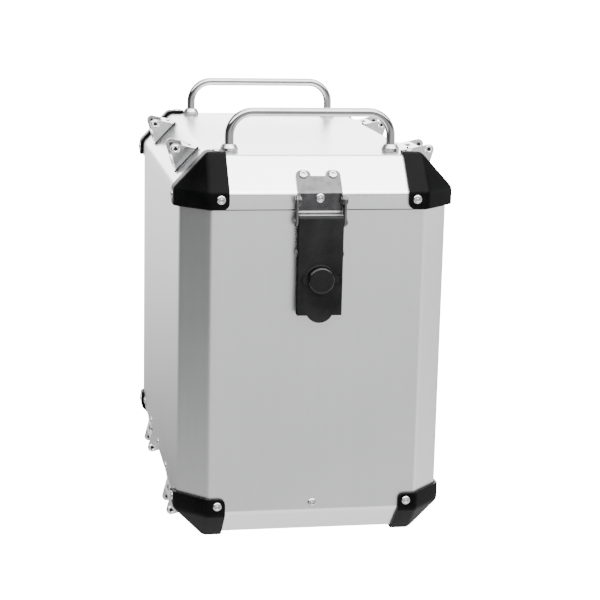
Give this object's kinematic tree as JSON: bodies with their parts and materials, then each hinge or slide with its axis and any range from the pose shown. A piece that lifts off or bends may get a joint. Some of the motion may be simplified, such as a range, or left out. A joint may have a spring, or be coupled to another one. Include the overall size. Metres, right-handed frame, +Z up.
{
  "type": "motorcycle side case",
  "caption": "Lidded aluminium motorcycle side case with chamfered edges, moulded corner caps, lever latches, carrying handles and lashing brackets.",
  "frame": {"origin": "under the middle of the case, on the plane of its four moulded feet", "axes": "+Z up towards the lid, +Y towards the rear end wall, +X towards the motorcycle, -X the outer side"},
  "size_m": [0.25, 0.442, 0.387],
  "materials": {
    "shell": "matt silver sheet",
    "corner_plastic": "moulded, fine grain",
    "bracket_steel": "satin stainless",
    "polished_steel": "polished stainless rod",
    "latch_plate": "satin zinc plate",
    "fastener_steel": "bright",
    "black_coat": "fine textured black coat",
    "rubber": "soft matt"
  },
  "bodies": {
    "root": {"body_shell": "shell", "rim_frame": "shell", "bottom_cap_front_outer": "corner_plastic", "bottom_cap_front_bike": "corner_plastic", "bottom_cap_rear_outer": "corner_plastic", "bottom_cap_rear_bike": "corner_plastic", "lower_bracket_front": "bracket_steel", "lower_bracket_rear": "bracket_steel", "front_catch_plate": "latch_plate", "rear_catch_plate": "latch_plate", "rear_link_left": "latch_plate", "rear_link_right": "latch_plate", "rear_upper_pin_left": "fastener_steel", "rear_upper_pin_right": "fastener_steel", "rear_lower_pin": "fastener_steel", "front_wall_rivet": "fastener_steel", "rear_wall_rivet": "fastener_steel"},
    "lid": {"lid_shell": "shell", "lid_seal": "rubber", "lid_cap_front_outer": "corner_plastic", "lid_cap_front_bike": "corner_plastic", "lid_cap_rear_outer": "corner_plastic", "lid_cap_rear_bike": "corner_plastic", "lid_bracket_front_outer": "bracket_steel", "lid_bracket_front_bike": "bracket_steel", "lid_bracket_rear_outer": "bracket_steel", "lid_bracket_rear_bike": "bracket_steel", "front_handle": "polished_steel", "rear_handle": "polished_steel", "front_collar_outer": "polished_steel", "front_collar_bike": "polished_steel", "rear_collar_outer": "polished_steel", "rear_collar_bike": "polished_steel", "front_handle_nut_outer": "fastener_steel", "front_handle_nut_bike": "fastener_steel", "rear_handle_nut_outer": "fastener_steel", "rear_handle_nut_bike": "fastener_steel", "front_strike_bracket": "latch_plate", "rear_strike_bracket": "latch_plate", "front_strike_rivet_left": "fastener_steel", "front_strike_rivet_right": "fastener_steel", "front_strike_rivet_middle": "fastener_steel", "rear_strike_rivet_left": "fastener_steel", "rear_strike_rivet_right": "fastener_steel", "rear_strike_rivet_middle": "fastener_steel"},
    "front_links": {"front_link_left": "latch_plate", "front_link_right": "latch_plate", "front_upper_pin_left": "fastener_steel", "front_upper_pin_right": "fastener_steel", "front_lower_pin": "fastener_steel"},
    "front_lever": {"front_lever": "black_coat", "front_catch_pin": "fastener_steel", "front_lock_cap_anchor": "rubber"},
    "front_lock": {"front_lock_barrel": "latch_plate"},
    "front_cap": {"front_lock_cap": "rubber"},
    "rear_lever": {"rear_lever": "black_coat", "rear_catch_pin": "fastener_steel", "rear_lock_cap_anchor": "rubber"},
    "rear_lock": {"rear_lock_barrel": "latch_plate"},
    "rear_cap": {"rear_lock_cap": "rubber"}
  },
  "joints": [
    {"name": "lid_hinge", "type": "hinge", "parent": "root", "child": "lid", "pos_m": [0, 0.208, 0.313], "axis": [-1, 0, 0], "range_deg": [0, 100]},
    {"name": "front_link_swing", "type": "hinge", "parent": "lid", "child": "front_links", "pos_m": [0, -0.208, 0.313], "axis": [-1, 0, 0], "range_deg": [0, 60]},
    {"name": "front_lever_swing", "type": "hinge", "parent": "front_links", "child": "front_lever", "pos_m": [0, -0.208, 0.2943], "axis": [-1, 0, 0], "range_deg": [0, 100]},
    {"name": "front_lock_turn", "type": "hinge", "parent": "front_lever", "child": "front_lock", "pos_m": [0, -0.213, 0.2444], "axis": [0, -1, 0], "range_deg": [0, 90]},
    {"name": "front_cap_flip", "type": "hinge", "parent": "front_lever", "child": "front_cap", "pos_m": [0.0162, -0.21425, 0.2444], "axis": [0, 0, 1], "range_deg": [0, 110]},
    {"name": "rear_lever_swing", "type": "hinge", "parent": "root", "child": "rear_lever", "pos_m": [0, 0.208, 0.2943], "axis": [1, 0, 0], "range_deg": [0, 100]},
    {"name": "rear_lock_turn", "type": "hinge", "parent": "rear_lever", "child": "rear_lock", "pos_m": [0, 0.213, 0.2444], "axis": [0, 1, 0], "range_deg": [0, 90]},
    {"name": "rear_cap_flip", "type": "hinge", "parent": "rear_lever", "child": "rear_cap", "pos_m": [-0.0162, 0.21425, 0.2444], "axis": [0, 0, 1], "range_deg": [0, 110]}
  ]
}
